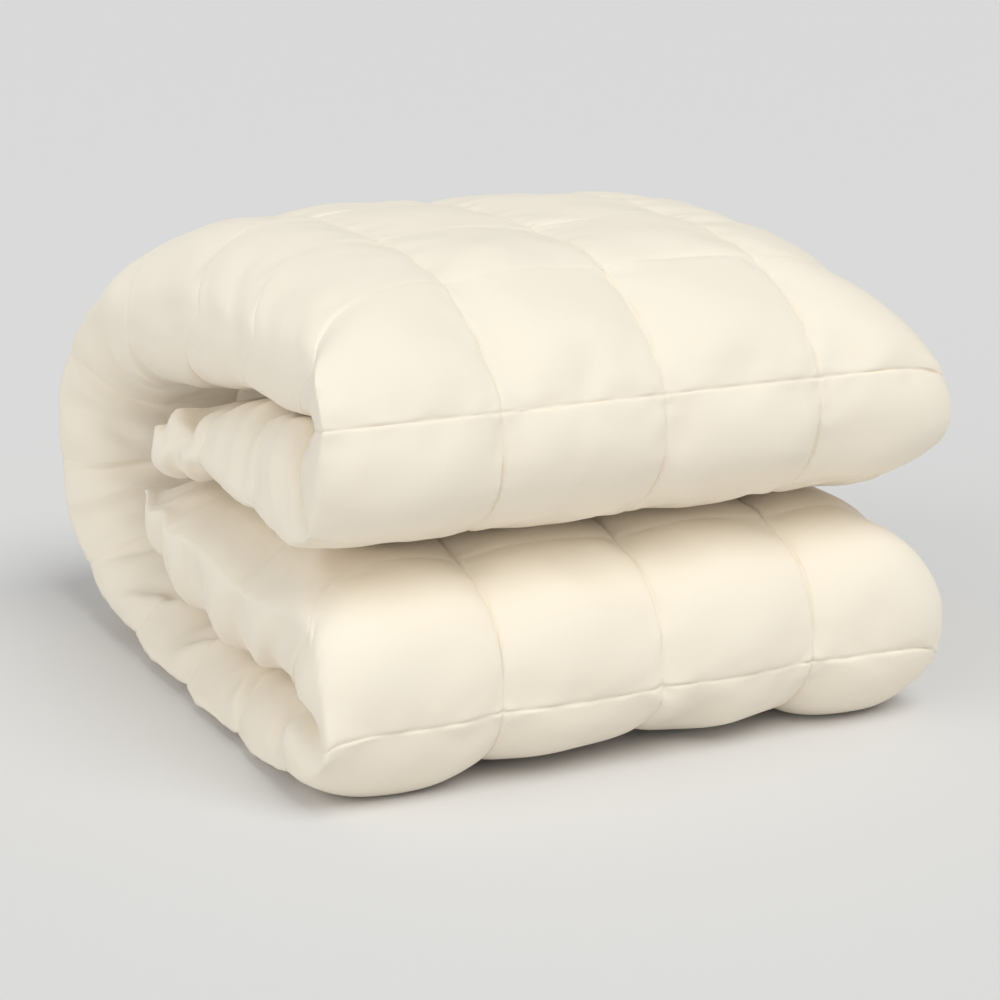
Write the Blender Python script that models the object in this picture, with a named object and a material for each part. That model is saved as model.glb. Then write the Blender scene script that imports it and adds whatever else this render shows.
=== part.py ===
"""A weighted blanket, quilted into square pockets and folded into a block.

The blanket lies as it is stored: its two ends are turned in to the middle and the whole is
then doubled over, so that seen from the side it is a C whose two free ends lie inside it.
The two cloths, outside and inside the fold, meet in a hem all round, and the seams of the
quilting hold them together between the pockets. Everything is filled, so it is one solid.

Units are metres and Z is up. X runs across the blanket, the fold's front is at -Y, and the
origin is at the middle of the blanket's box, on the surface it lies on.
"""

from collections import namedtuple
from math import exp, pi, sin, sqrt

import bpy
from mathutils import Vector

MM = 0.001

# Quilting: square pockets, counted across the blanket and along it.
POCKET = 0.1016
COLUMNS = 4
ROWS = 20

# A pocket's section between its seams is a sine to this power. Under 1 it is full, and its
# seams are sharp.
SWELL_POWER = 0.75

# How far the hem would stand out between rows' seams that are drawn in all the way.
HEM_BULGE = 0.0035

# At the free ends the filling rises to its full height over part of a row, and soft hollows
# and ridges start this far in from the hem.
END_ROUNDING_ROWS = 0.55
DENT_START = 0.008

# Mesh lines in one pocket, as shares of its length: the seam first, then over the crown.
# The turns at the front and the top, which show most, have the fine ones.
FINE = (0.0, 0.09, 0.27, 0.5, 0.73, 0.91)
COARSE = (0.0, 0.1, 0.35, 0.65, 0.9)
FINE_ROWS = (3, 4, 5, 6, 7, 8, 9, 15, 16, 17)
HEM_COLUMN = (0.0, 0.02, 0.07, 0.17, 0.34, 0.58, 0.84)
END_ROW = (0.0, 0.03, 0.11, 0.27, 0.5, 0.75)

# The fold seen from the side, in millimetres: y back from the upper front seam, z up from
# the surface, crown how far a pocket's cloth stands above its seams there, and hold the
# share of it that is left along a row's own seam. row counts the seams along the blanket,
# from the free end that lies on top.
Point = namedtuple("Point", "row y z crown hold")

OUTSIDE = (
    Point(0.0, 300, 146, 4, 0.45),   # upper free end
    Point(1.0, 208, 143, 3, 0.45),
    Point(2.0, 118, 143, 3, 0.45),
    Point(3.0, 30, 148, 4, 0.45),
    Point(3.5, 0, 177, 8, 0.45),
    Point(4.0, -2, 220, 8, 0.45),    # upper front seam
    Point(4.5, 24, 253, 8, 0.6),
    Point(5.0, 72, 278, 5, 0.9),
    Point(6.0, 163, 289, 3.5, 0.98),
    Point(7.0, 262, 289, 3, 0.98),
    Point(8.0, 360, 271, 3.5, 0.96),
    Point(9.0, 442, 211, 5, 0.8),
    Point(10.0, 474, 122, 7, 0.45),  # the back of the bend
    Point(11.0, 442, 41, 7, 0.45),
    Point(12.0, 356, 13, 13, 0.45),
    Point(13.0, 262, 8, 16, 0.45),
    Point(14.0, 166, 8, 16, 0.45),
    Point(15.0, 74, 9, 15, 0.45),
    Point(15.5, 25, 17, 10, 0.45),
    Point(16.0, -4, 50, 9, 0.45),    # lower front seam
    Point(16.5, 8, 100, 8, 0.45),
    Point(17.0, 54, 123, 5, 0.7),
    Point(18.0, 140, 124, 5, 0.9),
    Point(19.0, 224, 122, 5, 0.9),
    Point(20.0, 310, 126, 5, 0.9),  # lower free end
)

INSIDE = (
    Point(0.0, 300, 170, 3, 0.45),
    Point(1.0, 210, 191, 5, 0.45),
    Point(2.0, 126, 200, 5, 0.45),
    Point(3.0, 80, 204, 1, 0.45),
    Point(4.0, 62, 208, 0, 0.45),    # crease of the upper turn
    Point(5.0, 84, 212, 1, 0.45),
    Point(6.0, 166, 211, 5, 0.45),
    Point(7.0, 256, 204, 8, 0.45),
    Point(8.0, 336, 190, 9, 0.7),
    Point(9.0, 396, 155, 7, 0.8),
    Point(10.0, 405, 109, 5, 0.8),
    Point(11.0, 376, 66, 5, 0.8),
    Point(12.0, 308, 46, 4, 0.8),
    Point(13.0, 234, 43, 4, 0.8),
    Point(14.0, 154, 43, 4, 0.8),
    Point(15.0, 84, 45, 1, 0.8),
    Point(16.0, 56, 50, 0, 0.45),    # crease of the lower turn
    Point(17.0, 82, 55, 1, 0.45),
    Point(18.0, 146, 56, 4, 0.45),
    Point(19.0, 226, 60, 5, 0.45),
    Point(20.0, 310, 88, 4, 0.45),
)

# The hem at each end of the rows: x out from the blanket's middle, how far in from it the
# filling reaches its full height, full in the outside cloth and under in the inside one, and
# edge from 0 for an outside cloth that leaves it flat to 1 for one that leaves it round.
Hem = namedtuple("Hem", "row x y z full under edge")

LEFT_HEM = (
    Hem(0.0, 199, 281, 162, 25, 28, 1),
    Hem(0.2, 205, 267, 165, 25, 28, 1),
    Hem(1.0, 204, 198, 161, 28, 28, 1),
    Hem(2.0, 204, 104, 154, 40, 30, 1),
    Hem(3.0, 204, 24, 156, 40, 34, 1),
    Hem(3.5, 206, 5, 187, 24, 50, 1),
    Hem(4.0, 206, -4, 221, 24, 70, 1),
    Hem(4.5, 203, 8, 240, 60, 45, 1),
    Hem(5.0, 196, 30, 247, 105, 28, 1),
    Hem(6.0, 197, 114, 245, 105, 28, 1),
    Hem(7.0, 197, 202, 246, 105, 28, 1),
    Hem(8.0, 201, 324, 228, 100, 30, 1),
    Hem(8.25, 204, 356, 223, 92, 26, 1),    # the lip's peak
    Hem(8.6, 204, 401, 208, 78, 30, 1),
    Hem(9.0, 205, 440, 181, 70, 50, 1),
    Hem(10.0, 206, 462, 103, 70, 60, 1),
    Hem(11.0, 205, 416, 39, 70, 60, 1),
    Hem(12.0, 204, 326, 16, 70, 50, 1),
    Hem(13.0, 204, 229, 9, 70, 50, 1),
    Hem(14.0, 206, 136, 7, 70, 50, 1),
    Hem(15.0, 207, 52, 13, 60, 56, 1),
    Hem(16.0, 206, -3, 42, 24, 70, 1),
    Hem(16.5, 207, 6, 76, 24, 60, 1),
    Hem(17.0, 203, 24, 102, 40, 30, 0.7),
    Hem(18.0, 206, 116, 100, 60, 22, 0),
    Hem(19.0, 206, 216, 108, 60, 22, 0),
    Hem(19.8, 205, 290, 117, 60, 22, 0),
    Hem(20.0, 199, 304, 120, 60, 22, 0),
)

RIGHT_HEM = (
    Hem(0.0, 200, 292, 169, 60, 60, 1),
    Hem(1.0, 198, 208, 170, 60, 60, 1),
    Hem(2.0, 198, 122, 170, 60, 60, 1),
    Hem(3.0, 197, 34, 162, 50, 50, 1),
    Hem(3.5, 199, 12, 180, 50, 50, 1),
    Hem(4.0, 197, 10, 206, 60, 60, 1),
    Hem(4.5, 196, 32, 206, 95, 85, 1),
    Hem(5.0, 195, 72, 209, 115, 105, 1),
    Hem(6.0, 197, 158, 224, 105, 105, 1),
    Hem(7.0, 197, 258, 230, 105, 105, 1),
    Hem(8.0, 197, 350, 224, 95, 95, 1),
    Hem(9.0, 198, 422, 193, 70, 70, 1),
    Hem(10.0, 198, 448, 120, 70, 70, 1),
    Hem(11.0, 198, 420, 59, 70, 70, 1),
    Hem(12.0, 198, 346, 33, 70, 70, 1),
    Hem(13.0, 198, 258, 29, 70, 70, 1),
    Hem(14.0, 198, 162, 29, 70, 70, 1),
    Hem(15.0, 197, 66, 22, 60, 60, 1),
    Hem(16.0, 198, 8, 35, 50, 50, 1),
    Hem(16.5, 201, 14, 62, 50, 50, 1),
    Hem(17.0, 197, 58, 88, 70, 80, 1),
    Hem(18.0, 198, 140, 86, 80, 80, 1),
    Hem(19.0, 198, 224, 96, 60, 60, 1),
    Hem(20.0, 199, 302, 98, 60, 60, 1),
)

# Soft hollows and ridges where the filling has shifted: the place in rows and columns, the
# reach each way in pockets, the height in millimetres, and the way the long side turns.
Dent = namedtuple("Dent", "row column along across height slant")

OUTSIDE_DENTS = (
    Dent(3.45, 1.55, 0.33, 0.60, -5, 0.1),
    Dent(3.30, 2.60, 0.30, 0.52, -5, 0.2),
    Dent(3.55, 3.30, 0.30, 0.45, -4, -0.2),
    Dent(4.55, 1.12, 0.68, 0.18, -5, 0.0),
    Dent(16.70, 1.70, 0.27, 0.36, -4, 0.2),
    Dent(15.60, 2.25, 0.30, 0.27, -4, 0.3),
    Dent(15.35, 0.55, 0.60, 0.75, 6, 0.0),
    Dent(15.25, 1.50, 0.60, 0.68, -5, 0.0),
    Dent(15.25, 2.50, 0.60, 0.68, -4, 0.0),
    Dent(15.35, 3.45, 0.60, 0.75, 5, 0.0),
    Dent(7.40, 2.40, 0.45, 0.45, -2, 0.1),
    Dent(0.40, 0.08, 0.60, 0.32, 10, 0.0),
)

INSIDE_DENTS = (
    Dent(7.20, 0.40, 1.60, 1.20, 9, 0.0),
    Dent(1.00, 0.40, 1.60, 1.20, -7, 0.0),
    Dent(18.6, 0.40, 2.00, 1.20, 9, 0.0),
    Dent(13.2, 0.50, 1.70, 1.10, -8, 0.0),
    Dent(2.35, 0.40, 0.21, 0.68, -4, 0.0),
    Dent(1.60, 0.45, 0.24, 0.75, 5, 0.2),
    Dent(0.70, 0.35, 0.24, 0.60, -6, -0.2),
    Dent(9.40, 0.40, 0.27, 0.68, -6, 0.1),
    Dent(10.60, 0.40, 0.27, 0.68, -6, 0.1),
    Dent(12.50, 0.40, 0.27, 0.68, -6, 0.0),
    Dent(18.50, 0.40, 0.27, 0.60, -4, 0.2),
    Dent(5.40, 0.15, 0.90, 0.32, 8, 0.0),
    Dent(16.75, 0.12, 0.60, 0.38, 9, 0.0),
    Dent(15.40, 0.12, 0.50, 0.35, 7, 0.0),
)

COTTON = (0.87, 0.80, 0.66, 1.0)


def clear_scene():
    """Start from an empty scene."""
    for thing in list(bpy.data.objects):
        bpy.data.objects.remove(thing, do_unlink=True)


def slope(table, n, name):
    """The slope of a column at line n of a table, from the lines either side of it."""
    before = table[max(n - 1, 0)]
    here = table[n]
    after = table[min(n + 1, len(table) - 1)]
    if n == 0 or n == len(table) - 1:
        return (getattr(after, name) - getattr(before, name)) / (after.row - before.row)
    first = (getattr(here, name) - getattr(before, name)) / (here.row - before.row)
    second = (getattr(after, name) - getattr(here, name)) / (after.row - here.row)
    reach = after.row - before.row
    return (first * (after.row - here.row) + second * (here.row - before.row)) / reach


def curve(table, row):
    """The point of a smooth curve through a table of points, at a place along the rows."""
    n = max(i for i, point in enumerate(table[:-1]) if point.row <= row + 1e-9)
    start, end = table[n], table[n + 1]
    span = end.row - start.row
    t = (row - start.row) / span
    values = dict.fromkeys(("x", "y", "z"), 0.0)
    for name in start._fields[1:]:
        a, b = getattr(start, name), getattr(end, name)
        leave, arrive = slope(table, n, name) * span, slope(table, n + 1, name) * span
        value = (
            a * (2 * t**3 - 3 * t**2 + 1)
            + leave * (t**3 - 2 * t**2 + t)
            + b * (3 * t**2 - 2 * t**3)
            + arrive * (t**3 - t**2)
        )
        values[name] = value if name in ("hold", "edge") else value * MM
    return Vector((values["x"], values["y"], values["z"])), values


def swell(share):
    """A pocket's rise, 0 on the seams either side of it and 1 over its middle."""
    return max(sin(pi * share), 0.0) ** SWELL_POWER


def rounding(share):
    """A quarter circle's rise, 0 at the hem and 1 where the filling is full."""
    left = 1.0 - min(share, 1.0)
    return sqrt(1.0 - left * left)


def dents(table, row, column):
    """The summed height of the soft hollows and ridges at one place."""
    height = 0.0
    for dent in table:
        down, over = row - dent.row, column - dent.column
        down, over = down + dent.slant * over, over - dent.slant * down
        far = (down / dent.along) ** 2 + (over / dent.across) ** 2
        height += dent.height * MM * max(1.0 - far, 0.0) ** 2
    return height


def outward(row, outside):
    """The direction out of a cloth, square to its curve."""
    table = OUTSIDE if outside else INSIDE
    step = 0.02
    along = curve(table, min(row + step, ROWS))[0] - curve(table, max(row - step, 0.0))[0]
    direction = Vector((0.0, -along.z, along.y)).normalized()
    return direction if outside else -direction


def hem_place(row, side):
    """The place of the hem, side being -1 on the left and 1 on the right, and its values."""
    place, values = curve(LEFT_HEM if side < 0 else RIGHT_HEM, row)
    stretched = curve(OUTSIDE, row)[1]["hold"]
    place.x = side * (place.x + HEM_BULGE * swell(row % 1.0) * (1.0 - stretched))
    return place, values


def cloth_place(row, column, outside):
    """The place of a cloth at a row and a column, both counted in pockets."""
    outer, outer_values = curve(OUTSIDE, row)
    inner, inner_values = curve(INSIDE, row)
    middle = (outer + inner) / 2
    own = outer if outside else inner
    values = outer_values if outside else inner_values
    side = -1 if column < COLUMNS / 2 else 1
    hem, hem_values = hem_place(row, side)
    first_seam = side * (COLUMNS / 2 - 1) * POCKET
    from_hem = min(column, COLUMNS - column)
    if from_hem < 1.0:
        x = hem.x + (first_seam - hem.x) * from_hem
    else:
        x = (column - COLUMNS / 2) * POCKET
    share = abs(x - hem.x) / hem_values["full" if outside else "under"]
    full = rounding(share)
    if outside:
        flat = sin(pi / 2 * min(share, 1.0))
        full = flat + (full - flat) * hem_values["edge"]
    ends = rounding(min(row, ROWS - row) / END_ROUNDING_ROWS)
    place = hem + (middle - hem) * full + (own - middle) * full * ends
    place.x = x
    hold = values["hold"]
    rise = values["crown"] * (hold + (1.0 - hold) * swell(row % 1.0)) * swell(column % 1.0)
    dent = dents(OUTSIDE_DENTS if outside else INSIDE_DENTS, row, column)
    rise += dent * (1.0 - exp(-(place - hem).length / DENT_START))
    normal = outward(row, outside) * full + Vector((side, 0.0, 0.0)) * (1.0 - full)
    place += normal.normalized() * rise * ends
    place.z = max(place.z, 0.0)
    return place


def mesh_lines():
    """The rows and the columns that carry the mesh's lines, in pockets."""
    rows = []
    for row in range(ROWS):
        if row == 0:
            rows += END_ROW
        elif row < ROWS - 1:
            rows += [row + share for share in (FINE if row in FINE_ROWS else COARSE)]
        else:
            rows += [ROWS - share for share in reversed(END_ROW + (1.0,))]
    columns = list(HEM_COLUMN)
    for column in range(1, COLUMNS - 1):
        columns += [column + share for share in FINE]
    columns += [COLUMNS - share for share in reversed(HEM_COLUMN + (1.0,))]
    return rows, columns


def quilted_blanket():
    """Build the folded blanket: an outside cloth and an inside cloth, joined at the hem."""
    rows, columns = mesh_lines()
    last_row, last_column = len(rows) - 1, len(columns) - 1
    places, corner = [], {}
    for outside in (True, False):
        for i, row in enumerate(rows):
            for j, column in enumerate(columns):
                at_hem = i in (0, last_row) or j in (0, last_column)
                if at_hem and not outside:
                    corner[outside, i, j] = corner[True, i, j]
                    continue
                corner[outside, i, j] = len(places)
                places.append(cloth_place(row, column, outside))
    faces = []
    for outside in (True, False):
        for i in range(last_row):
            for j in range(last_column):
                face = [
                    corner[outside, i, j],
                    corner[outside, i, j + 1],
                    corner[outside, i + 1, j + 1],
                    corner[outside, i + 1, j],
                ]
                faces.append(face if outside else face[::-1])
    low = Vector([min(place[axis] for place in places) for axis in range(3)])
    high = Vector([max(place[axis] for place in places) for axis in range(3)])
    origin = Vector(((low.x + high.x) / 2, (low.y + high.y) / 2, 0.0))
    mesh = bpy.data.meshes.new("quilted_blanket")
    mesh.from_pydata([place - origin for place in places], [], faces)
    mesh.update()
    mesh.shade_smooth()
    blanket = bpy.data.objects.new("quilted_blanket", mesh)
    bpy.context.scene.collection.objects.link(blanket)
    return blanket


def cotton():
    """Undyed cotton, soft and matt."""
    material = bpy.data.materials.new("undyed_cotton")
    material.use_nodes = True
    shader = material.node_tree.nodes["Principled BSDF"]
    shader.inputs["Base Color"].default_value = COTTON
    shader.inputs["Roughness"].default_value = 0.9
    shader.inputs["Metallic"].default_value = 0.0
    return material


clear_scene()
quilted_blanket().data.materials.append(cotton())
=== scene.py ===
import math
from collections import namedtuple

import bpy
import numpy as np
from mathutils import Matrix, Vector


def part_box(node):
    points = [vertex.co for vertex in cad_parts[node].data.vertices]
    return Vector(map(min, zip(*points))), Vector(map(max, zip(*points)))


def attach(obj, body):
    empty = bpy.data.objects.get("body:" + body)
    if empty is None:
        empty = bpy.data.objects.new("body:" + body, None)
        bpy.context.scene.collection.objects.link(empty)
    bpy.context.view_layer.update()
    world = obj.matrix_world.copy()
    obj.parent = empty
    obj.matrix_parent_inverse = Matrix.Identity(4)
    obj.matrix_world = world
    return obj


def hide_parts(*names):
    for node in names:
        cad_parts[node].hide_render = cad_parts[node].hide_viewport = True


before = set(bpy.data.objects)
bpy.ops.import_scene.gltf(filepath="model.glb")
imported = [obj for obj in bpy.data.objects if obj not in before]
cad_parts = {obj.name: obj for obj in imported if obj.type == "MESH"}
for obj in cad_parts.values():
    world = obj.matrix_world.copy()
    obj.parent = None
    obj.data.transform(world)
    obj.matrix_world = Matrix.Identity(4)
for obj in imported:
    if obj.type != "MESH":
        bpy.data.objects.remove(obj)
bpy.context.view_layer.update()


# ---------------------------------------------------------------------------------------
# The studio. A pale floor that runs out past the picture, a broad lamp high on the right and
# a broader one low on the left under an even sky, with a long lens at the height of a table,
# looking a little down on the blanket's left front corner.
# ---------------------------------------------------------------------------------------
MM = 0.001
VIEW_TURN = -0.4624
VIEW_RISE = 0.2583
VIEW_DISTANCE = 1.414
VIEW_CENTRE = Vector((-0.0974, -0.2333, 0.171))
LENS = 93.6
FLOOR_HALF = 14.0
FLOOR_TINT = (0.77, 0.755, 0.75, 1.0)
LAMP_TINT = (0.965, 0.985, 0.965)
LAMP_CENTRE = Vector((0.0, 0.0, 0.15))
LAMP_DISTANCE = 2.0
SKY_TINT = (0.95, 0.98, 1.0, 1.0)
SKY_STRENGTH = 0.43


def aim(thing, centre, turn, rise, distance):
    """Put a lamp or a camera on a line from a centre, and turn it to look there."""
    back = Vector((
        math.sin(turn) * math.cos(rise),
        -math.cos(turn) * math.cos(rise),
        math.sin(rise),
    ))
    thing.location = centre + back * distance
    thing.rotation_mode = "QUATERNION"
    thing.rotation_quaternion = (-back).to_track_quat("-Z", "Y")
    bpy.context.scene.collection.objects.link(thing)


camera = bpy.data.objects.new("camera", bpy.data.cameras.new("camera"))
camera.data.lens = LENS
camera.data.sensor_width = 36.0
aim(camera, VIEW_CENTRE, VIEW_TURN, VIEW_RISE, VIEW_DISTANCE)
bpy.context.scene.camera = camera
bpy.context.scene.view_settings.view_transform = "Standard"

Lamp = namedtuple("Lamp", "name turn rise softness strength")
for lamp in (
    Lamp("key_lamp", 0.25, 1.0, 0.7, 1.55),
    Lamp("left_lamp", -1.3, 0.3, 1.2, 1.05),
):
    light = bpy.data.lights.new(lamp.name, "SUN")
    light.angle = lamp.softness
    light.energy = lamp.strength
    light.color = LAMP_TINT
    lamp_object = bpy.data.objects.new(lamp.name, light)
    aim(lamp_object, LAMP_CENTRE, lamp.turn, lamp.rise, LAMP_DISTANCE)

# An even white sky softens the shadows.
world = bpy.data.worlds.new("studio")
bpy.context.scene.world = world
world.use_nodes = True
sky = world.node_tree.nodes["Background"]
sky.inputs["Color"].default_value = SKY_TINT
sky.inputs["Strength"].default_value = SKY_STRENGTH

floor_mesh = bpy.data.meshes.new("floor")
floor_mesh.from_pydata(
    [(x * FLOOR_HALF, y * FLOOR_HALF, 0.0) for x, y in ((-1, -1), (1, -1), (1, 1), (-1, 1))],
    [],
    [(0, 1, 2, 3)],
)
floor = bpy.data.objects.new("floor", floor_mesh)
bpy.context.scene.collection.objects.link(floor)
pale = bpy.data.materials.new("pale_floor")
pale.use_nodes = True
floor_shader = pale.node_tree.nodes["Principled BSDF"]
floor_shader.inputs["Base Color"].default_value = FLOOR_TINT
floor_shader.inputs["Roughness"].default_value = 0.9
floor_mesh.materials.append(pale)


# ---------------------------------------------------------------------------------------
# The quilted blanket. Two equal cloths of undyed cotton, sewn together round the hem and
# quilted through into square pockets that are filled. Its ends are turned in to the middle
# and the whole is doubled over, so its side shows a C with two free ends inside it.
# ---------------------------------------------------------------------------------------
POCKET = 101.6 * MM
COLUMNS = 4
ROWS = 20
FRONT_SEAMS = (4, 16)

# A pocket's section is a sine to this power, and its hem would stand out this far between rows'
# seams that are drawn in all the way. The filling of a free end is full after this many rows.
SWELL_POWER = 0.75
HEM_BULGE = 3.5 * MM
END_ROUNDING_ROWS = 0.55

# The fold seen from the side, in millimetres: y back from the upper front seam, z up from
# the floor, crown how far a pocket stands above its seams, and hold the share of it that is
# left along a row's own seam. Over LIFTED, the stretched cloth lifts the seam. row counts the
# seams along the blanket, from the free end that lies on top.
Point = namedtuple("Point", "row y z crown hold")
LIFTED = 0.65

OUTSIDE = (
    Point(0.0, 300, 146, 4, 0.45),   # upper free end
    Point(1.0, 208, 143, 3, 0.45),
    Point(2.0, 118, 143, 3, 0.45),
    Point(3.0, 30, 148, 4, 0.45),
    Point(3.5, 0, 177, 8, 0.45),
    Point(4.0, -2, 220, 8, 0.45),    # upper front seam
    Point(4.5, 24, 253, 8, 0.6),
    Point(5.0, 72, 278, 5, 0.9),
    Point(6.0, 163, 289, 3.5, 0.98),
    Point(7.0, 262, 289, 3, 0.98),
    Point(8.0, 360, 271, 3.5, 0.96),
    Point(9.0, 442, 211, 5, 0.8),
    Point(10.0, 474, 122, 7, 0.45),  # the back of the bend
    Point(11.0, 442, 41, 7, 0.45),
    Point(12.0, 356, 13, 13, 0.45),
    Point(13.0, 262, 8, 16, 0.45),
    Point(14.0, 166, 8, 16, 0.45),
    Point(15.0, 74, 9, 15, 0.45),
    Point(15.5, 25, 17, 10, 0.45),
    Point(16.0, -4, 50, 9, 0.45),    # lower front seam
    Point(16.5, 8, 100, 8, 0.45),
    Point(17.0, 54, 123, 5, 0.7),
    Point(18.0, 140, 124, 5, 0.9),
    Point(19.0, 224, 122, 5, 0.9),
    Point(20.0, 310, 126, 5, 0.9),  # lower free end
)

INSIDE = (
    Point(0.0, 300, 170, 3, 0.45),
    Point(1.0, 210, 191, 5, 0.45),
    Point(2.0, 126, 200, 5, 0.45),
    Point(3.0, 80, 204, 1, 0.45),
    Point(4.0, 62, 208, 0, 0.45),    # crease of the upper turn
    Point(5.0, 84, 212, 1, 0.45),
    Point(6.0, 166, 211, 5, 0.45),
    Point(7.0, 256, 204, 8, 0.45),
    Point(8.0, 336, 190, 9, 0.7),
    Point(9.0, 396, 155, 7, 0.8),
    Point(10.0, 405, 109, 5, 0.8),
    Point(11.0, 376, 66, 5, 0.8),
    Point(12.0, 308, 46, 4, 0.8),
    Point(13.0, 234, 43, 4, 0.8),
    Point(14.0, 154, 43, 4, 0.8),
    Point(15.0, 84, 45, 1, 0.8),
    Point(16.0, 56, 50, 0, 0.45),    # crease of the lower turn
    Point(17.0, 82, 55, 1, 0.45),
    Point(18.0, 146, 56, 4, 0.45),
    Point(19.0, 226, 60, 5, 0.45),
    Point(20.0, 310, 88, 4, 0.45),
)

# The hem at each end of the rows: x out from the blanket's middle, how far in from it the
# filling reaches its full height, full in the outside cloth and under in the inside one, edge
# from 0 for an outside cloth that leaves it flat to 1 for one that leaves it round, how far
# the narrow welt stands out where the two cloths are sewn and turned out, and how far the
# rows' seams draw in the cloth beside it, pinch outside and tuck inside.
Hem = namedtuple("Hem", "row x y z full under edge welt pinch tuck")

LEFT_HEM = (
    Hem(0.0, 199, 281, 163, 25, 28, 1, 2, 7, 4),    # the upper end's crumpled corner
    Hem(0.2, 204, 265, 166, 24, 28, 1, 2, 7, 4),
    Hem(0.46, 208, 243, 158, 22, 26, 1, 2, 7, 4),
    Hem(0.66, 202, 226, 166, 24, 28, 1, 2, 8, 3),
    Hem(0.84, 206, 211, 160, 26, 28, 1, 2, 8, 2),
    Hem(1.0, 204, 198, 161, 28, 28, 1, 2, 8, 1.5),
    Hem(2.0, 204, 104, 154, 40, 30, 1, 2, 8, 1.5),
    Hem(3.0, 204, 24, 156, 40, 34, 1, 2, 4, 1),
    Hem(3.5, 206, 5, 187, 24, 50, 1, 1, 0, 0),
    Hem(4.0, 206, -4, 221, 24, 70, 1, 0.5, 0, 0),
    Hem(4.5, 203, 8, 240, 60, 45, 1, 0.5, 1, 1),
    Hem(5.0, 196, 30, 247, 105, 28, 1, 0.5, 5, 1),
    Hem(6.0, 197, 114, 245, 105, 28, 1, 0.5, 0.8, 1.5),
    Hem(7.0, 197, 202, 246, 105, 28, 1, 0.5, 0.5, 1.5),
    Hem(8.0, 201, 324, 228, 100, 30, 1, 0.5, 0.8, 1),
    Hem(8.25, 204, 356, 223, 92, 26, 1, 1, 0.5, 1),    # the lip's peak
    Hem(8.6, 204, 401, 208, 78, 30, 1, 1, 0.5, 1),
    Hem(9.0, 205, 440, 181, 70, 50, 1, 1, 3, 2),
    Hem(10.0, 206, 462, 103, 70, 60, 1, 2, 4, 1),
    Hem(11.0, 205, 416, 39, 70, 60, 1, 2, 4, 2),
    Hem(12.0, 204, 326, 16, 70, 50, 1, 1, 5, 2),
    Hem(13.0, 204, 229, 9, 70, 50, 1, 1, 5, 2),
    Hem(14.0, 206, 136, 7, 70, 50, 1, 1, 5, 2),
    Hem(15.0, 207, 52, 13, 60, 56, 1, 2, 4, 1),
    Hem(16.0, 206, -3, 42, 24, 70, 1, 1, 0, 0),
    Hem(16.5, 207, 6, 76, 24, 60, 1, 1, 0, 0),
    Hem(17.0, 203, 24, 102, 40, 30, 0.7, 2, 1, 5),
    Hem(18.0, 206, 116, 100, 60, 22, 0, 2, 0, 7),
    Hem(19.0, 206, 216, 108, 60, 22, 0, 2, 0, 7),
    Hem(19.34, 208, 248, 107, 60, 22, 0, 2, 0, 7),
    Hem(19.52, 204, 262, 114, 60, 22, 0, 2, 0, 6),   # the lower end's crumpled corner
    Hem(19.64, 207, 276, 110, 55, 22, 0, 2, 0, 6),
    Hem(19.86, 202, 295, 119, 55, 22, 0, 2, 0, 6),
    Hem(20.0, 200, 304, 117, 60, 22, 0, 2, 0, 6),
)

RIGHT_HEM = (
    Hem(0.0, 200, 292, 169, 60, 60, 1, 2, 5, 5),
    Hem(1.0, 198, 208, 170, 60, 60, 1, 2, 5, 5),
    Hem(2.0, 198, 122, 170, 60, 60, 1, 2, 5, 5),
    Hem(3.0, 197, 34, 162, 50, 50, 1, 2, 5, 5),
    Hem(3.5, 199, 12, 180, 50, 50, 1, 2, 2, 2),
    Hem(4.0, 197, 10, 206, 60, 60, 1, 2, 2, 2),
    Hem(4.5, 196, 32, 206, 95, 85, 1, 1, 2, 2),
    Hem(5.0, 195, 72, 209, 115, 105, 1, 0.5, 5, 5),
    Hem(6.0, 197, 158, 224, 105, 105, 1, 0.5, 5, 5),
    Hem(7.0, 197, 258, 230, 105, 105, 1, 0.5, 5, 5),
    Hem(8.0, 197, 350, 224, 95, 95, 1, 0.5, 5, 5),
    Hem(9.0, 198, 422, 193, 70, 70, 1, 1, 5, 5),
    Hem(10.0, 198, 448, 120, 70, 70, 1, 2, 5, 5),
    Hem(11.0, 198, 420, 59, 70, 70, 1, 2, 5, 5),
    Hem(12.0, 198, 346, 33, 70, 70, 1, 1, 5, 5),
    Hem(13.0, 198, 258, 29, 70, 70, 1, 1, 5, 5),
    Hem(14.0, 198, 162, 29, 70, 70, 1, 1, 5, 5),
    Hem(15.0, 197, 66, 22, 60, 60, 1, 2, 5, 5),
    Hem(16.0, 198, 8, 35, 50, 50, 1, 2, 2, 2),
    Hem(16.5, 201, 14, 62, 50, 50, 1, 2, 2, 2),
    Hem(17.0, 197, 58, 88, 70, 80, 1, 2, 5, 5),
    Hem(18.0, 198, 140, 86, 80, 80, 1, 2, 5, 5),
    Hem(19.0, 198, 224, 96, 60, 60, 1, 2, 5, 5),
    Hem(20.0, 199, 302, 98, 60, 60, 1, 2, 5, 5),
)

# Soft hollows and ridges where the filling has shifted: the place in rows and columns, the
# reach each way in pockets, the height in millimetres, and the way the long side turns.
Dent = namedtuple("Dent", "row column along across height slant")

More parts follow.
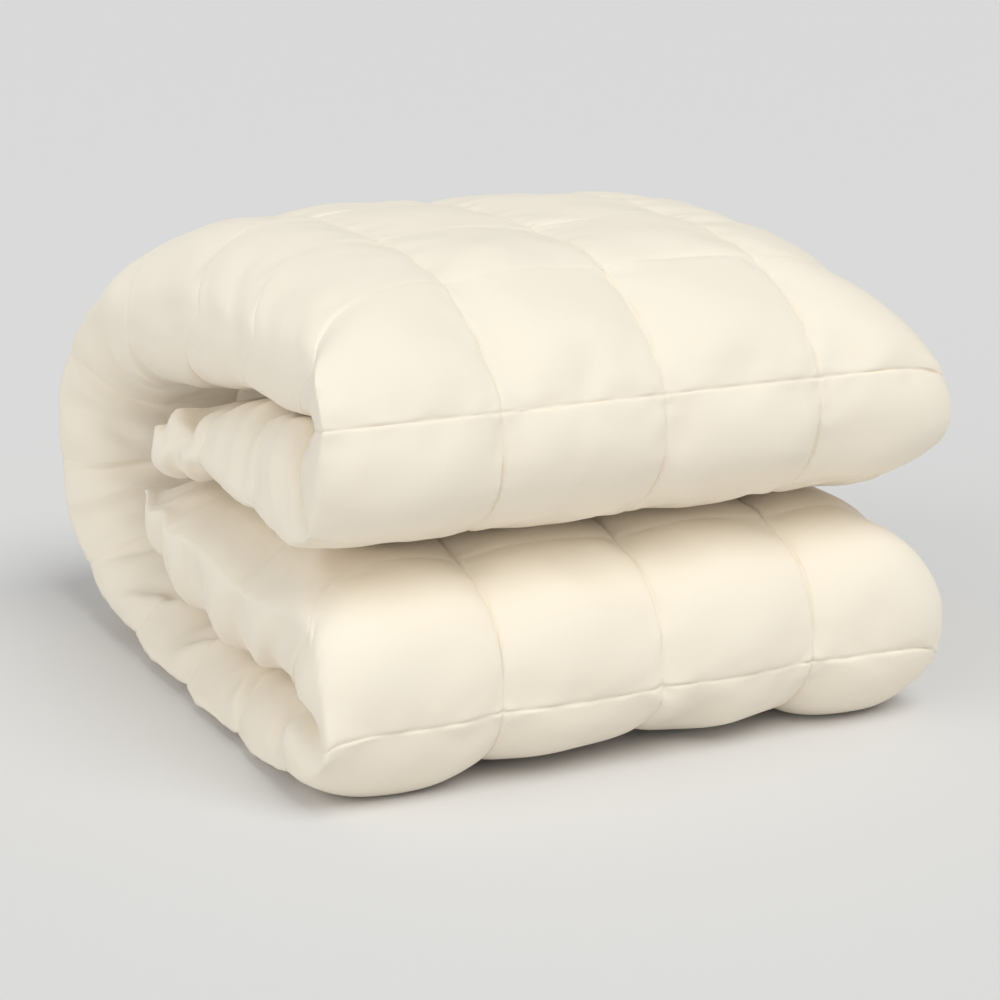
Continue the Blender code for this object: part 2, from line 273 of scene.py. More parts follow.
OUTSIDE_DENTS = (
    Dent(3.45, 1.55, 0.33, 0.60, -5, 0.1),
    Dent(3.30, 2.60, 0.30, 0.52, -5, 0.2),
    Dent(3.55, 3.30, 0.30, 0.45, -4, -0.2),
    Dent(4.55, 1.12, 0.68, 0.18, -5, 0.0),
    Dent(16.70, 1.70, 0.27, 0.36, -4, 0.2),
    Dent(15.60, 2.25, 0.30, 0.27, -4, 0.3),
    Dent(15.35, 0.55, 0.60, 0.75, 6, 0.0),
    Dent(15.25, 1.50, 0.60, 0.68, -5, 0.0),
    Dent(15.25, 2.50, 0.60, 0.68, -4, 0.0),
    Dent(15.35, 3.45, 0.60, 0.75, 5, 0.0),
    Dent(7.40, 2.40, 0.45, 0.45, -2, 0.1),
    Dent(0.40, 0.08, 0.60, 0.32, 10, 0.0),
)

INSIDE_DENTS = (
    Dent(7.20, 0.40, 1.60, 1.20, 9, 0.0),
    Dent(1.00, 0.40, 1.60, 1.20, -7, 0.0),
    Dent(18.6, 0.40, 2.00, 1.20, 9, 0.0),
    Dent(13.2, 0.50, 1.70, 1.10, -8, 0.0),
    Dent(2.35, 0.40, 0.21, 0.68, -4, 0.0),
    Dent(1.60, 0.45, 0.24, 0.75, 5, 0.2),
    Dent(0.70, 0.35, 0.24, 0.60, -6, -0.2),
    Dent(9.40, 0.40, 0.27, 0.68, -6, 0.1),
    Dent(10.60, 0.40, 0.27, 0.68, -6, 0.1),
    Dent(12.50, 0.40, 0.27, 0.68, -6, 0.0),
    Dent(18.50, 0.40, 0.27, 0.60, -4, 0.2),
    Dent(5.40, 0.15, 0.90, 0.32, 8, 0.0),
    Dent(16.75, 0.12, 0.60, 0.38, 9, 0.0),
    Dent(15.40, 0.12, 0.50, 0.35, 7, 0.0),
)

# Sharp folds and puckers, each a line between two places in rows and columns, with its half
# width and its height in millimetres.
Crease = namedtuple("Crease", "row column to_row to_column width height")

OUTSIDE_CREASES = (
    Crease(3.95, 1.45, 3.60, 1.50, 6, 2.0),      # under the upper front seam
    Crease(4.05, 1.50, 4.30, 1.62, 7, -2.0),
    Crease(3.90, 0.98, 3.55, 0.90, 7, -1.5),
    Crease(3.92, 2.02, 3.50, 2.12, 7, -1.5),
    Crease(16.0, 1.90, 15.70, 2.15, 8, 3.0),     # under the lower front seam
    Crease(15.95, 2.20, 15.60, 2.40, 9, -3.0),
    Crease(15.95, 2.85, 15.65, 2.65, 9, -2.5),
    Crease(16.1, 1.98, 16.45, 1.90, 7, -2.0),
    Crease(0.16, 0.02, 0.30, 0.20, 7, -4.5),     # the upper end's crumpled corner
    Crease(0.32, 0.00, 0.48, 0.22, 6, 4.0),
    Crease(0.60, 0.01, 0.55, 0.24, 8, -5.0),
    Crease(0.85, 0.00, 0.75, 0.22, 7, 3.5),
    Crease(1.10, 0.02, 0.95, 0.22, 8, -3.5),
    Crease(19.85, 0.03, 19.60, 0.16, 7, -4.0),   # the lower end's corner
    Crease(19.70, 0.01, 19.40, 0.24, 7, 3.0),
    Crease(19.50, 0.02, 19.20, 0.32, 12, -3.0),
)

INSIDE_CREASES = (
    Crease(0.04, 0.12, 0.40, 0.02, 8, -6.0),     # the upper end's crumpled corner
    Crease(0.16, 0.30, 0.60, 0.04, 8, 5.0),
    Crease(0.42, 0.40, 0.80, 0.03, 12, -9.0),
    Crease(1.25, 0.03, 1.30, 0.60, 18, 4.0),     # its top, fanned by its turn
    Crease(1.85, 0.42, 1.74, 0.03, 15, -8.0),
    Crease(2.40, 0.40, 2.34, 0.02, 24, 5.0),
    Crease(3.12, 0.18, 2.92, 0.01, 18, -11.0),
    Crease(19.72, 0.01, 19.76, 0.18, 12, 6.0),   # the lower end's side, puckered by its hem
    Crease(19.42, 0.01, 19.60, 0.18, 12, -8.0),
    Crease(19.10, 0.00, 19.24, 0.18, 12, 5.0),
    Crease(18.72, 0.00, 18.95, 0.16, 12, -8.0),
    Crease(18.36, 0.00, 18.56, 0.18, 11, 5.0),
    Crease(18.04, 0.00, 18.26, 0.16, 12, -8.0),
    Crease(17.68, 0.00, 17.84, 0.18, 11, 5.0),
    Crease(17.38, 0.01, 17.56, 0.16, 12, -7.0),
    Crease(17.08, 0.01, 17.10, 0.18, 10, 4.0),
    Crease(8.05, 0.02, 8.18, 0.32, 10, 5.0),     # the lip's fold over the bend
    Crease(8.52, 0.02, 8.72, 0.30, 20, -13.0),
    Crease(8.98, 0.03, 9.16, 0.45, 14, -7.0),    # the wall of the bend
    Crease(9.52, 0.22, 9.72, 0.34, 9, -8.0),
    Crease(10.12, 0.05, 10.04, 0.40, 11, -7.0),
    Crease(10.42, 0.03, 10.28, 0.42, 9, 7.0),
    Crease(11.05, 0.10, 11.20, 0.55, 14, -6.0),
    Crease(11.62, 0.02, 12.35, 0.32, 8, 9.0),    # the lower run's top, puckered along its hem
    Crease(11.70, 0.14, 12.20, 0.34, 10, -9.0),
    Crease(12.75, 0.06, 13.15, 0.25, 8, 7.0),
    Crease(12.68, 0.15, 12.95, 0.32, 10, -9.0),
    Crease(13.87, 0.03, 13.98, 0.26, 8, 9.0),
    Crease(13.70, 0.08, 13.78, 0.28, 9, -9.5),
    Crease(14.90, 0.02, 15.60, 0.12, 7, 7.0),
    Crease(14.78, 0.08, 14.90, 0.24, 9, -9.0),
)

# The free ends' own welt, and how far in the welts, hollows and drawn-in seams reach. A crease
# runs out at both ends, from this share of its half wave.
END_WELT = 2.5 * MM
END_WELT_ROWS = 0.7
WELT_REACH = 5 * MM
DENT_START = 8 * MM
PINCH_REACH = 30 * MM
CREASE_END = 0.15

# The shares of a pocket at which the mesh has its lines, closer by the seams. By the free ends
# another line halves every gap between rows that is wider than this.
POCKET_LINES = (
    0, 0.015, 0.04, 0.08, 0.15, 0.235, 0.325, 0.415, 0.5, 0.585, 0.675, 0.765, 0.85, 0.92, 0.96,
    0.985,
)
WIDEST_END_GAP = 0.05

# The cloth is a little larger than its pockets, and the filling presses it out, less on the
# inside and by the hem, and not in the tight inner crease of a turn.
FRAMES = 24
PRESSURE = 3.0
LOOSE = 0.03
MOST_MOVE = 3.5 * MM
INSIDE_MOVE = 0.4
HEM_STIFF = 12 * MM
TURN_REACH = 0.5


def read(table, name, rows):
    """A smooth curve through one column of a table, read at places along the rows."""
    at = np.array([line.row for line in table])
    value = np.array([getattr(line, name) for line in table]) * (
        1.0 if name in ("hold", "edge") else MM
    )
    gap = np.diff(at)
    steep = np.diff(value) / gap
    inner = (steep[:-1] * gap[1:] + steep[1:] * gap[:-1]) / (gap[:-1] + gap[1:])
    slope = np.concatenate((steep[:1], inner, steep[-1:]))
    n = np.clip(np.searchsorted(at, rows, side="right") - 1, 0, len(gap) - 1)
    t = (rows - at[n]) / gap[n]
    return (
        value[n] * (2 * t**3 - 3 * t**2 + 1)
        + slope[n] * gap[n] * (t**3 - 2 * t**2 + t)
        + value[n + 1] * (3 * t**2 - 2 * t**3)
        + slope[n + 1] * gap[n] * (t**3 - t**2)
    )


def section(table, rows):
    """The points of a section curve, with x left at 0."""
    return np.stack((np.zeros(len(rows)), read(table, "y", rows), read(table, "z", rows)), 1)


def free_of_turn(row, is_inside):
    """0 in the inner crease of a turn, where the cloth lies on itself, and 1 away from it."""
    off = np.min([abs(row - turn) for turn in FRONT_SEAMS], axis=0)
    return np.where(is_inside > 0.5, np.minimum(off / TURN_REACH, 1.0) ** 2, 1.0)


def swell(share):
    """A pocket's rise, 0 on the seams either side of it and 1 over its middle."""
    return np.maximum(np.sin(np.pi * share), 0.0) ** SWELL_POWER


def rounding(share):
    """A quarter circle's rise, 0 at the hem and 1 where the filling is full."""
    return np.sqrt(1.0 - (1.0 - np.minimum(share, 1.0)) ** 2)


def dents(table, rows, columns):
    """The summed height of the soft hollows and ridges."""
    height = np.zeros(np.broadcast(rows, columns).shape)
    for dent in table:
        down, over = rows - dent.row, columns - dent.column
        down, over = down + dent.slant * over, over - dent.slant * down
        far = (down / dent.along) ** 2 + (over / dent.across) ** 2
        height += dent.height * MM * np.maximum(1.0 - far, 0.0) ** 2
    return height


def creases(table, rows, columns):
    """The summed height of the sharp folds and puckers."""
    height = np.zeros(np.broadcast(rows, columns).shape)
    for crease in table:
        long, wide = crease.to_row - crease.row, crease.to_column - crease.column
        square = long**2 + wide**2
        share = ((rows - crease.row) * long + (columns - crease.column) * wide) / square
        share = np.clip(share, 0.0, 1.0)
        off = np.hypot(
            rows - crease.row - share * long, columns - crease.column - share * wide
        )
        near = np.maximum(1.0 - off * POCKET / (crease.width * MM), 0.0)
        height += crease.height * MM * near**2 * (3 - 2 * near) * np.sin(
            np.pi * (CREASE_END + (1.0 - 2 * CREASE_END) * share)
        )
    return height


def cloth(rows, columns, outside):
    """The places of one cloth, a grid of rows by columns, both counted in pockets."""
    outer, inner = section(OUTSIDE, rows), section(INSIDE, rows)
    middle = (outer + inner) / 2
    own = outer if outside else inner
    table = OUTSIDE if outside else INSIDE
    step = 0.02
    ahead = section(table, np.minimum(rows + step, ROWS))
    along = ahead - section(table, np.maximum(rows - step, 0.0))
    out = np.stack((0 * rows, -along[:, 2], along[:, 1]), 1)
    out /= np.linalg.norm(out, axis=1)[:, None] * (1 if outside else -1)
    crown = read(table, "crown", rows)
    hold = read(table, "hold", rows)
    held = hold + (1.0 - hold) * swell(rows % 1.0)
    ends = rounding(np.minimum(rows, ROWS - rows) / END_ROUNDING_ROWS)
    dent = dents(OUTSIDE_DENTS if outside else INSIDE_DENTS, rows[:, None], columns[None, :])
    dent = dent + creases(
        OUTSIDE_CREASES if outside else INSIDE_CREASES, rows[:, None], columns[None, :]
    )
    places = np.zeros((len(rows), len(columns), 3))
    for side, hem_table in ((-1, LEFT_HEM), (1, RIGHT_HEM)):
        here = columns < COLUMNS / 2 if side < 0 else columns >= COLUMNS / 2
        column = columns[here]
        hem = section(hem_table, rows)
        bulge = HEM_BULGE * swell(rows % 1.0) * (1.0 - read(OUTSIDE, "hold", rows))
        hem[:, 0] = side * (read(hem_table, "x", rows) + bulge)
        first_seam = side * (COLUMNS / 2 - 1) * POCKET
        from_hem = np.minimum(column, COLUMNS - column)[None, :]
        hem_x = hem[:, 0][:, None]
        x = np.where(
            from_hem < 1.0,
            hem_x + (first_seam - hem_x) * from_hem,
            (column[None, :] - COLUMNS / 2) * POCKET,
        )
        reach = read(hem_table, "full" if outside else "under", rows)[:, None]
        round_edge = read(hem_table, "edge", rows)[:, None] if outside else 1.0
        full = rounding(abs(x - hem_x) / reach)
        flat = np.sin(np.pi / 2 * np.minimum(abs(x - hem_x) / reach, 1.0))
        full = (flat + (full - flat) * round_edge)[:, :, None]
        place = hem[:, None] + (middle - hem)[:, None] * full
        place = place + (own - middle)[:, None] * full * ends[:, None, None]
        place[:, :, 0] = x
        rise = (crown * held)[:, None] * swell(column % 1.0)[None, :]
        away = np.linalg.norm(place - hem[:, None], axis=2)
        pinch = read(hem_table, "pinch" if outside else "tuck", rows)[:, None]
        pinch = pinch * (1.0 - swell(rows % 1.0))[:, None]
        rise = rise - pinch * (1.0 - np.exp(-away / DENT_START)) * np.exp(-away / PINCH_REACH)
        rise = rise + dent[:, here] * (1.0 - np.exp(-away / DENT_START))
        normal = out[:, None] * full + np.array((side, 0, 0)) * (1.0 - full)
        normal = normal / np.linalg.norm(normal, axis=2)[:, :, None]
        place = place + normal * (rise * ends[:, None])[:, :, None]
        place[:, :, 0] += side * read(hem_table, "welt", rows)[:, None] * np.exp(
            -away / WELT_REACH
        )
        places[:, here] = place
    for end, sign in ((0, -1), (-1, 1)):
        away = np.linalg.norm(places - places[end], axis=2)[:, :, None]
        near = abs(rows - rows[end])[:, None, None] < END_WELT_ROWS
        way = along[end] / np.linalg.norm(along[end])
        places += near * sign * way * END_WELT * np.exp(-away / WELT_REACH)
    places[:, :, 2] = np.maximum(places[:, :, 2], 0.0)
    return places


rows = np.append(np.add.outer(np.arange(ROWS), POCKET_LINES).ravel(), ROWS)
halfway, gap = (rows[:-1] + rows[1:]) / 2, np.diff(rows)
by_end = np.minimum(halfway, ROWS - halfway) < 1.0
rows = np.sort(np.append(rows, halfway[by_end & (gap > WIDEST_END_GAP)]))
columns = np.append(np.add.outer(np.arange(COLUMNS), POCKET_LINES).ravel(), COLUMNS)
high, wide = len(rows), len(columns)
outside_places, inside_places = cloth(rows, columns, True), cloth(rows, columns, False)

number = np.arange(high * wide).reshape(high, wide)
inside_number = number.copy()
inside_number[1:-1, 1:-1] = high * wide + np.arange((high - 2) * (wide - 2)).reshape(
    high - 2, wide - 2
)
points = np.concatenate(
    (outside_places.reshape(-1, 3), inside_places[1:-1, 1:-1].reshape(-1, 3))
)
quads = np.stack((number[:-1, :-1], number[:-1, 1:], number[1:, 1:], number[1:, :-1]), -1)
inside_quads = np.stack(
    (inside_number[:-1, :-1], inside_number[1:, :-1], inside_number[1:, 1:],
     inside_number[:-1, 1:]),
    -1,
)
faces = np.concatenate((quads.reshape(-1, 4), inside_quads.reshape(-1, 4)))

# The fold stands where its solid stands: both are centred on their own boxes.
solid_low, solid_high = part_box("quilted_blanket")
centre = (points.min(0) + points.max(0)) / 2
points[:, 0] += (solid_low.x + solid_high.x) / 2 - centre[0]
points[:, 1] += (solid_low.y + solid_high.y) / 2 - centre[1]

mesh = bpy.data.meshes.new("blanket_cloth")
mesh.from_pydata(points.tolist(), [], faces.tolist())
mesh.update()
mesh.shade_smooth()
blanket = bpy.data.objects.new("blanket_cloth", mesh)
bpy.context.scene.collection.objects.link(blanket)

# Each point's place in the quilt, which the smoothing below carries to the points it adds.
point_row = np.concatenate((np.repeat(rows, wide), np.repeat(rows[1:-1], wide - 2)))
point_column = np.concatenate((np.tile(columns, high), np.tile(columns[1:-1], high - 2)))
is_inside = np.concatenate((np.zeros(high * wide), np.ones((high - 2) * (wide - 2))))
for name, values in (("row", point_row), ("column", point_column), ("inside", is_inside)):
    mesh.attributes.new(name, "FLOAT", "POINT").data.foreach_set("value", values)

# Seams and hem are held while the cloth between them fills, but for the rows' seams that
# the stretched cloth lifts.
hold = np.where(
    is_inside == 1.0, read(INSIDE, "hold", point_row), read(OUTSIDE, "hold", point_row)
)
row_seam = (point_row % 1.0 == 0.0) & (hold < LIFTED)
at_end = (point_row == 0.0) | (point_row == ROWS)
sewn = row_seam | (point_column % 1.0 == 0.0) | at_end
sewn_group = blanket.vertex_groups.new(name="sewn")
sewn_group.add(np.flatnonzero(sewn).tolist(), 1.0, "REPLACE")

filling = blanket.modifiers.new("filling", "CLOTH")
filling.settings.quality = 4
filling.settings.mass = 0.15
filling.settings.tension_stiffness = 12.0
filling.settings.compression_stiffness = 12.0
filling.settings.shear_stiffness = 4.0
filling.settings.bending_stiffness = 0.4
filling.settings.use_pressure = True
filling.settings.uniform_pressure_force = PRESSURE
filling.settings.shrink_min = -LOOSE
filling.settings.vertex_group_mass = "sewn"
filling.settings.effector_weights.gravity = 0.0
filling.collision_settings.use_collision = False
filling.point_cache.frame_start = 1
filling.point_cache.frame_end = FRAMES
for number_of_frame in range(1, FRAMES + 1):
    bpy.context.scene.frame_set(number_of_frame)
filled = blanket.evaluated_get(bpy.context.evaluated_depsgraph_get()).data
moved = np.empty(len(points) * 3)
filled.vertices.foreach_get("co", moved)
move = moved.reshape(-1, 3) - points
far = np.linalg.norm(move, axis=1)[:, None]
from_hem = np.minimum(
    np.minimum(point_column, COLUMNS - point_column), np.minimum(point_row, ROWS - point_row)
)
most = np.where(is_inside == 1.0, INSIDE_MOVE, 1.0) * MOST_MOVE
most *= free_of_turn(point_row, is_inside) * (1.0 - np.exp(-from_hem * POCKET / HEM_STIFF))
most = (most + 0.001 * MM)[:, None]
points = points + move * most / (most + far)
points[:, 2] = np.maximum(points[:, 2], 0.0)
blanket.modifiers.remove(filling)
bpy.context.scene.frame_set(1)
mesh.vertices.foreach_set("co", points.ravel())
mesh.update()

# Seams and hem stay sharp while the cloth between them is smoothed.
edge_ends = np.empty(len(mesh.edges) * 2, dtype=int)
mesh.edges.foreach_get("vertices", edge_ends)
one, two = edge_ends.reshape(-1, 2).T
across_seam = row_seam | at_end
on_seam = (point_row[one] == point_row[two]) & across_seam[one] & across_seam[two]
on_seam |= (point_column[one] == point_column[two]) & np.isin(
    point_column[one], range(1, COLUMNS)
)
mesh.attributes.new("crease_edge", "FLOAT", "EDGE").data.foreach_set("value", on_seam * 1.0)
smoothing = blanket.modifiers.new("smoothing", "SUBSURF")
smoothing.levels = smoothing.render_levels = 1
bpy.context.view_layer.update()
result = bpy.context.evaluated_depsgraph_get()
smooth = bpy.data.meshes.new_from_object(
    blanket.evaluated_get(result), preserve_all_data_layers=True, depsgraph=result
)
blanket.modifiers.remove(smoothing)
blanket.data = smooth
mesh = smooth

# The stitching draws the cloth into a narrow groove and puckers it either side, less where
# the seam is lifted. Over that lie the faint hollows of a filling that has been handled.
FRONT_GROOVE = 0.75 * MM
GROOVE = 0.4 * MM
LIFTED_GROOVE = 0.15 * MM
GROOVE_REACH = 1.3 * MM
PUCKER = 0.3 * MM
LIFTED_PUCKER = 0.4
PUCKER_REACH = 9 * MM
UNEVEN_WAVES = 18
UNEVEN_HEIGHT = 0.5 / 3 * MM
UNEVEN_LENGTHS = (35, 110)  # millimetres
Wave = namedtuple("Wave", "length height")
PUCKER_WAVES = (Wave(31 * MM, 0.6), Wave(19 * MM, 0.9), Wave(13 * MM, 0.8))
chance = np.random.default_rng(21)


def waves(place, group, table, groups):
    """Uneven waves along a line, each group of points with its own."""
    height = np.zeros(len(place))
    for wave in table:
        shift, stretch = chance.uniform(0, 2 * np.pi, groups), chance.uniform(0.85, 1.15, groups)
        height += wave.height * np.sin(
            2 * np.pi * place / wave.length * stretch[group] + shift[group]
        )
    return height


def values_of(name):
    """One of the mesh's numbers at each of its points."""
    values = np.empty(len(mesh.vertices))
    mesh.attributes[name].data.foreach_get("value", values)
    return values


row, column, inside = values_of("row"), values_of("column"), values_of("inside")
points = np.empty(len(mesh.vertices) * 3)
mesh.vertices.foreach_get("co", points)
points = points.reshape(-1, 3)
normals = np.empty(len(points) * 3)
mesh.vertex_normals.foreach_get("vector", normals)
normals = normals.reshape(-1, 3)
side_of_cloth = (inside > 0.5).astype(int)
height = np.zeros(len(points))
strong_row = np.isin(np.rint(row), FRONT_SEAMS) & (side_of_cloth == 0)
hold = np.where(side_of_cloth == 1, read(INSIDE, "hold", row), read(OUTSIDE, "hold", row))
lifted = hold > LIFTED
for across, along, lines in ((row, column, ROWS), (column, row, COLUMNS)):
    seam = np.rint(across).astype(int)
    off = abs(across - seam) * POCKET
    sewn_here = ((seam > 0) & (seam < lines)) * 1.0
    groove = np.where(strong_row, FRONT_GROOVE, GROOVE) if across is row else GROOVE
    groove = np.where(lifted, LIFTED_GROOVE, groove) if across is row else groove
    groove = groove * sewn_here
    height -= groove * np.exp(-((off / GROOVE_REACH) ** 2))
    puckers = waves(along * POCKET, seam * 2 + side_of_cloth, PUCKER_WAVES, 2 * lines + 2)
    near = np.exp(-off / PUCKER_REACH) * (1.0 - np.exp(-off / GROOVE_REACH))
    height += PUCKER * puckers * near * np.where(lifted, LIFTED_PUCKER, 1.0)
for wave in range(UNEVEN_WAVES):
    way, length = chance.uniform(0, 2 * np.pi), chance.uniform(*UNEVEN_LENGTHS) * MM
    place = (row * math.cos(way) + column * math.sin(way)) * POCKET
    shift = chance.uniform(0, 2 * np.pi, 2)[side_of_cloth]
    height += UNEVEN_HEIGHT * np.sin(2 * np.pi * place / length + shift)
height *= free_of_turn(row, inside)
points = points + normals * height[:, None]
points[:, 2] = np.maximum(points[:, 2], 0.0)
mesh.vertices.foreach_set("co", points.ravel())
mesh.update()

# The cloth's own map: metres across and along it, with the inside cloth beside the outside one.
corner = np.empty(len(mesh.loops), dtype=int)
mesh.loops.foreach_get("vertex_index", corner)
corners = corner.reshape(-1, 4)
of_inside = np.repeat(inside[corners].max(1) > 0.01, 4)
cloth_map = np.stack((column[corner] + of_inside * (COLUMNS + 1), row[corner]), 1) * POCKET
mesh.uv_layers.new(name="cloth").data.foreach_set("uv", cloth_map.ravel())

COTTON = (0.945, 0.86, 0.73, 1.0)
COTTON_WORN = (0.93, 0.835, 0.70, 1.0)
cotton = bpy.data.materials.new("undyed_cotton_cloth")
cotton.use_nodes = True
nodes, links = cotton.node_tree.nodes, cotton.node_tree.links
shader = nodes["Principled BSDF"]
shader.inputs["Roughness"].default_value = 0.9
shader.inputs["Specular IOR Level"].default_value = 0.25
shader.inputs["Sheen Weight"].default_value = 0.2
shader.inputs["Sheen Roughness"].default_value = 0.5
on_cloth = nodes.new("ShaderNodeUVMap")
on_cloth.uv_map = "cloth"

# Plain weave: warp and weft threads that pass over and under each other.
THREADS_A_METRE = 2400
weave = None
for name, turn in (("warp", "X"), ("weft", "Y")):
    threads = nodes.new("ShaderNodeTexWave")
    threads.name = name
    threads.bands_direction = turn
    threads.inputs["Scale"].default_value = THREADS_A_METRE * math.pi / 10
    threads.inputs["Distortion"].default_value = 1.5
    threads.inputs["Detail"].default_value = 1.0
    threads.inputs["Detail Scale"].default_value = 0.2
    links.new(on_cloth.outputs["UV"], threads.inputs["Vector"])
    if weave is None:
        weave = threads.outputs["Fac"]
        continue
    crossing = nodes.new("ShaderNodeMath")
    crossing.operation = "MULTIPLY"
    links.new(weave, crossing.inputs[0])
    links.new(threads.outputs["Fac"], crossing.inputs[1])
    weave = crossing.outputs["Value"]

# Slubs run along the threads, and handling leaves the cloth a little uneven in tone.
slub_way = nodes.new("ShaderNodeMapping")
slub_way.inputs["Scale"].default_value = (420.0, 26.0, 1.0)
links.new(on_cloth.outputs["UV"], slub_way.inputs["Vector"])
slubs = nodes.new("ShaderNodeTexNoise")
slubs.inputs["Scale"].default_value = 1.0
slubs.inputs["Detail"].default_value = 2.0
links.new(slub_way.outputs["Vector"], slubs.inputs["Vector"])
handling = nodes.new("ShaderNodeTexNoise")
handling.inputs["Scale"].default_value = 22.0
handling.inputs["Detail"].default_value = 4.0
links.new(on_cloth.outputs["UV"], handling.inputs["Vector"])
tone = nodes.new("ShaderNodeMix")
tone.inputs["Factor"].default_value = 0.35
links.new(handling.outputs["Fac"], tone.inputs["A"])
links.new(slubs.outputs["Fac"], tone.inputs["B"])
colour = nodes.new("ShaderNodeMix")
colour.data_type = "RGBA"
links.new(tone.outputs["Result"], colour.inputs["Factor"])
colour_a, colour_b = [socket for socket in colour.inputs if socket.type == "RGBA"]
colour_a.default_value, colour_b.default_value = COTTON, COTTON_WORN
shade = [socket for socket in colour.outputs if socket.type == "RGBA"][0]
links.new(shade, shader.inputs["Base Color"])

weave_relief = nodes.new("ShaderNodeBump")
weave_relief.inputs["Strength"].default_value = 0.25
weave_relief.inputs["Distance"].default_value = 0.05 * MM
links.new(weave, weave_relief.inputs["Height"])
slub_relief = nodes.new("ShaderNodeBump")
slub_relief.inputs["Strength"].default_value = 0.5
slub_relief.inputs["Distance"].default_value = 0.12 * MM
links.new(slubs.outputs["Fac"], slub_relief.inputs["Height"])
links.new(weave_relief.outputs["Normal"], slub_relief.inputs["Normal"])
links.new(slub_relief.outputs["Normal"], shader.inputs["Normal"])
mesh.materials.append(cotton)

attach(blanket, "root")
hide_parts("quilted_blanket")


# ---------------------------------------------------------------------------------------
# The quilting stitches. Undyed cotton thread, run through both cloths along every seam
# between the pockets, in short stitches that sink into the groove they draw.
# ---------------------------------------------------------------------------------------
STITCH = 2.7 * MM
STITCH_GAP = 0.8 * MM
THREAD = 0.45 * MM
THREAD_PROUD = -0.08 * MM

seam_points, seam_edges = [], []
for its_points in (inside < 0.25, inside > 0.75):
    for across, along, lines in ((row, column, ROWS), (column, row, COLUMNS)):
        for line in range(1, lines):
            on_line = np.flatnonzero(its_points & (abs(across - line) < 1e-4))
            on_line = on_line[np.argsort(along[on_line])]
            first = len(seam_points)
            seam_points += (points[on_line] + normals[on_line] * THREAD_PROUD).tolist()
            seam_edges += [(n, n + 1) for n in range(first, len(seam_points) - 1)]

thread = bpy.data.materials.new("undyed_cotton_thread")
thread.use_nodes = True
thread_nodes = thread.node_tree.nodes
thread_shader = thread_nodes["Principled BSDF"]
thread_shader.inputs["Roughness"].default_value = 0.75
thread_shader.inputs["Sheen Weight"].default_value = 0.15
fibres = thread_nodes.new("ShaderNodeTexNoise")
fibres.inputs["Scale"].default_value = 900.0
place_of = thread_nodes.new("ShaderNodeTexCoord")
fibre_colour = thread_nodes.new("ShaderNodeMix")
fibre_colour.data_type = "RGBA"
one_colour, other_colour = [socket for socket in fibre_colour.inputs if socket.type == "RGBA"]
one_colour.default_value = (0.86, 0.77, 0.65, 1.0)
other_colour.default_value = (0.94, 0.86, 0.74, 1.0)
thread.node_tree.links.new(place_of.outputs["Object"], fibres.inputs["Vector"])
thread.node_tree.links.new(fibres.outputs["Fac"], fibre_colour.inputs["Factor"])
thread.node_tree.links.new(
    [socket for socket in fibre_colour.outputs if socket.type == "RGBA"][0],
    thread_shader.inputs["Base Color"],
)

tree = bpy.data.node_groups.new("stitches_along_seams", "GeometryNodeTree")
for name, kind in (
    ("Seams", "Geometry"), ("Stitch", "Float"), ("Gap", "Float"), ("Thread", "Float"),
    ("Seed", "Int"),
):
    tree.interface.new_socket(name, in_out="INPUT", socket_type="NodeSocket" + kind)
tree.interface.new_socket("Stitches", in_out="OUTPUT", socket_type="NodeSocketGeometry")
given = tree.nodes.new("NodeGroupInput")
seam_lines = tree.nodes.new("GeometryNodeMeshToCurve")
pitch = tree.nodes.new("ShaderNodeMath")
spaced = tree.nodes.new("GeometryNodeResampleCurve")
spaced.mode = "LENGTH"
one_stitch = tree.nodes.new("GeometryNodeMeshIcoSphere")
one_stitch.inputs["Radius"].default_value = 0.5
one_stitch.inputs["Subdivisions"].default_value = 1
size = tree.nodes.new("ShaderNodeCombineXYZ")
uneven = tree.nodes.new("FunctionNodeRandomValue")
uneven.data_type = "FLOAT_VECTOR"
uneven.inputs[0].default_value = (0.85, 0.85, 0.88)
uneven.inputs[1].default_value = (1.1, 1.1, 1.06)
stitch_size = tree.nodes.new("ShaderNodeVectorMath")
stitch_size.operation = "MULTIPLY"
tangent = tree.nodes.new("GeometryNodeInputTangent")
along_seam = tree.nodes.new("FunctionNodeAlignRotationToVector")
along_seam.axis = "Z"
placed = tree.nodes.new("GeometryNodeInstanceOnPoints")
real = tree.nodes.new("GeometryNodeRealizeInstances")
rounded = tree.nodes.new("GeometryNodeSetShadeSmooth")
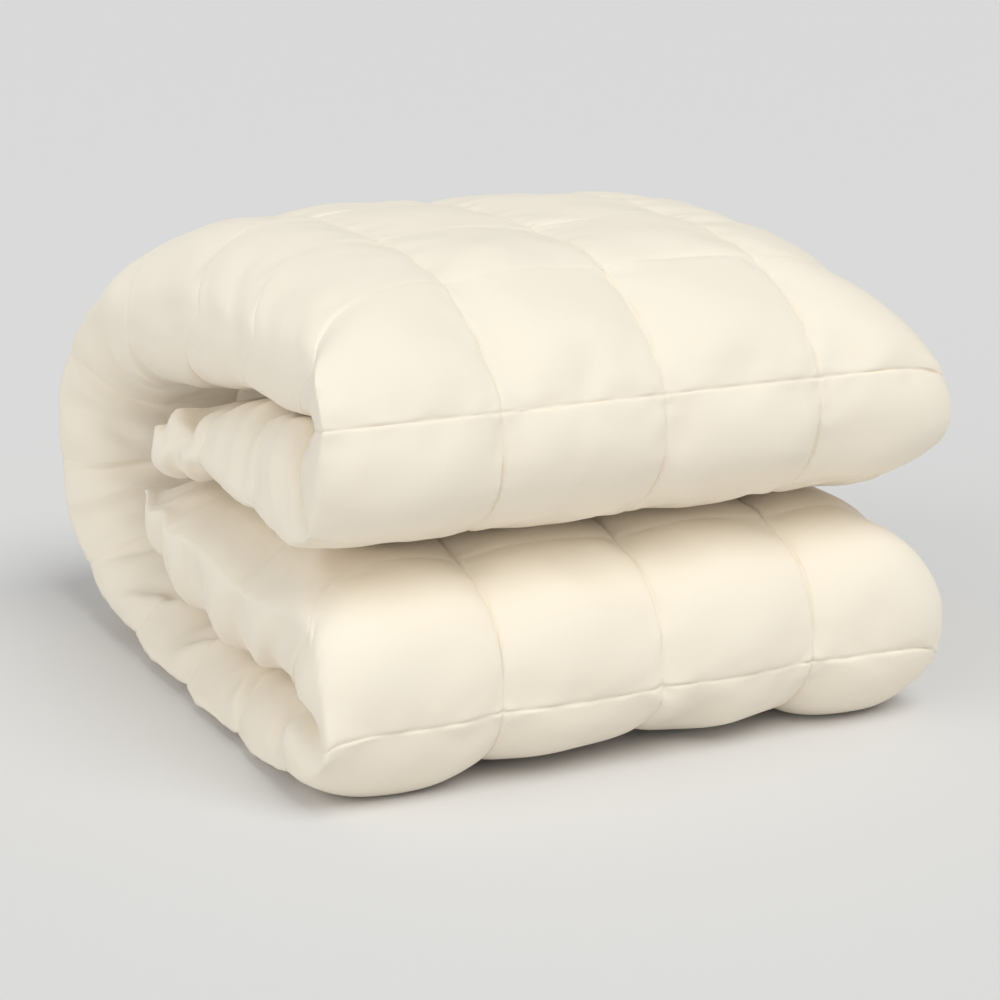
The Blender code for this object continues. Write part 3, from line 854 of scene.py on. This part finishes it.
finished = tree.nodes.new("GeometryNodeSetMaterial")
finished.inputs["Material"].default_value = thread
given_out = tree.nodes.new("NodeGroupOutput")
for source, target in (
    (given.outputs["Seams"], seam_lines.inputs["Mesh"]),
    (seam_lines.outputs["Curve"], spaced.inputs["Curve"]),
    (given.outputs["Stitch"], pitch.inputs[0]),
    (given.outputs["Gap"], pitch.inputs[1]),
    (pitch.outputs["Value"], spaced.inputs["Length"]),
    (given.outputs["Thread"], size.inputs["X"]),
    (given.outputs["Thread"], size.inputs["Y"]),
    (given.outputs["Stitch"], size.inputs["Z"]),
    (given.outputs["Seed"], uneven.inputs["Seed"]),
    (size.outputs["Vector"], stitch_size.inputs[0]),
    (uneven.outputs[0], stitch_size.inputs[1]),
    (tangent.outputs["Tangent"], along_seam.inputs["Vector"]),
    (spaced.outputs["Curve"], placed.inputs["Points"]),
    (one_stitch.outputs["Mesh"], placed.inputs["Instance"]),
    (along_seam.outputs["Rotation"], placed.inputs["Rotation"]),
    (stitch_size.outputs["Vector"], placed.inputs["Scale"]),
    (placed.outputs["Instances"], real.inputs["Geometry"]),
    (real.outputs["Geometry"], rounded.inputs["Geometry"]),
    (rounded.outputs["Geometry"], finished.inputs["Geometry"]),
    (finished.outputs["Geometry"], given_out.inputs["Stitches"]),
):
    tree.links.new(source, target)

seams = bpy.data.meshes.new("quilting_stitches")
seams.from_pydata(seam_points, seam_edges, [])
stitches = bpy.data.objects.new("quilting_stitches", seams)
bpy.context.scene.collection.objects.link(stitches)
stitching = stitches.modifiers.new("stitching", "NODES")
stitching.node_group = tree
sizes_given = {"Stitch": STITCH, "Gap": STITCH_GAP, "Thread": THREAD, "Seed": 5}
for socket in tree.interface.items_tree:
    if socket.name in sizes_given:
        stitching[socket.identifier] = sizes_given[socket.name]
bpy.context.view_layer.update()
result = bpy.context.evaluated_depsgraph_get()
sewn_mesh = bpy.data.meshes.new_from_object(stitches.evaluated_get(result), depsgraph=result)
stitches.modifiers.remove(stitching)
stitches.data = sewn_mesh

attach(stitches, "root")
